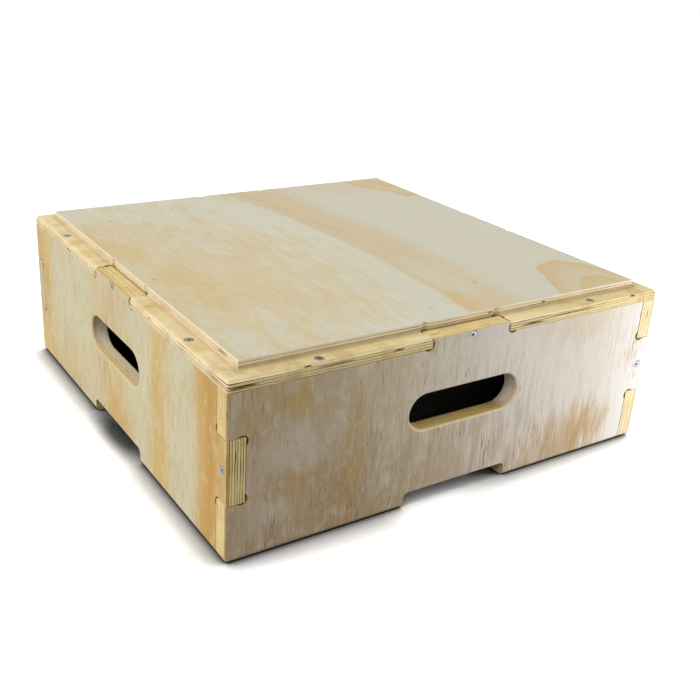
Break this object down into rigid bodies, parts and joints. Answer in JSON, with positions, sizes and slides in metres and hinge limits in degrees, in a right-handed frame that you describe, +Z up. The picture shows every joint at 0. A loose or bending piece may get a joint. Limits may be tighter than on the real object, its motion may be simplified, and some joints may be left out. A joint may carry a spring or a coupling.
{
  "type": "plyo box",
  "caption": "Square stacking plyo box section of finger-jointed plywood, with hand slots, gaps under the walls and a rebated deck that seats the open base of the next section.",
  "frame": {"origin": "on the floor, at the middle of the square footprint", "axes": "+Z up, +X to the right along the front wall, +Y from the front wall to the back wall"},
  "size_m": [0.5, 0.5, 0.18],
  "materials": {
    "deck_plywood": "matte",
    "wall_plywood": "matte",
    "screw_steel": "bright zinc"
  },
  "bodies": {
    "root": {"top_deck": "deck_plywood", "front_wall": "wall_plywood", "right_wall": "wall_plywood", "back_wall": "wall_plywood", "left_wall": "wall_plywood", "front_lid_screws": "screw_steel", "front_tab_screw": "screw_steel", "front_corner_screw": "screw_steel", "right_lid_screws": "screw_steel", "right_tab_screw": "screw_steel", "right_corner_screw": "screw_steel", "back_lid_screws": "screw_steel", "back_tab_screw": "screw_steel", "back_corner_screw": "screw_steel", "left_lid_screws": "screw_steel", "left_tab_screw": "screw_steel", "left_corner_screw": "screw_steel"}
  },
  "joints": []
}
